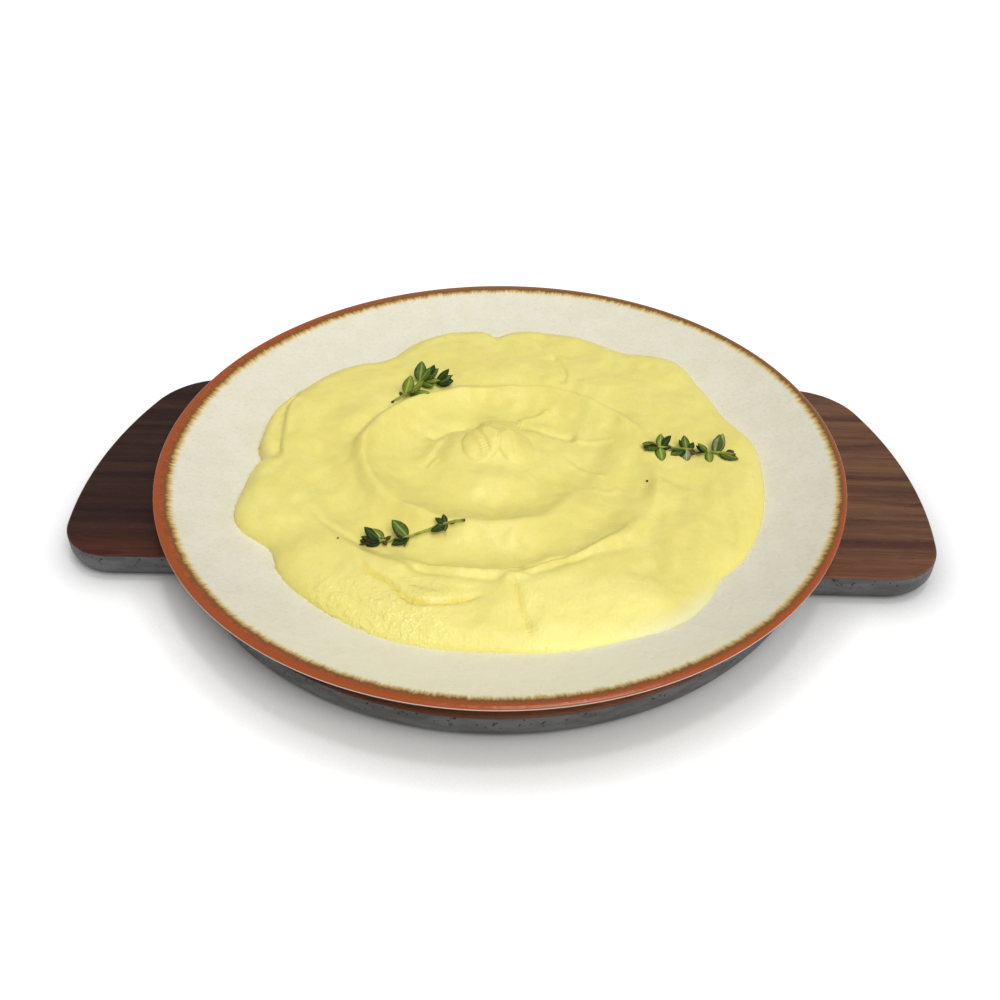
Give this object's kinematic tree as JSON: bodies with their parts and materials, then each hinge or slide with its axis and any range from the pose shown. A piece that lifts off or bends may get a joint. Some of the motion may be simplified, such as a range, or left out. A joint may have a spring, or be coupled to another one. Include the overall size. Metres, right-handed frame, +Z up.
{
  "type": "mashed potato side",
  "caption": "Mashed potato swirled across a shallow round rimmed plate, dressed with thyme, on a wooden serving board with an ear on each side.",
  "frame": {"origin": "on the surface that the board rests on, at the middle of the board's underside, on the plate's axis", "axes": "+X through the board's right ear, along its longest extent; +Y towards the back of the dish; +Z up"},
  "size_m": [0.274, 0.22, 0.0281],
  "materials": {
    "board": "oiled dark walnut",
    "plate": "cream glaze with a reactive brown edge",
    "mash": "smooth, moist, satin",
    "thyme": "matte leaves"
  },
  "bodies": {
    "root": {"board": "board", "plate": "plate", "mash": "mash", "thyme_back": "thyme", "thyme_right": "thyme", "thyme_front": "thyme"}
  },
  "joints": []
}
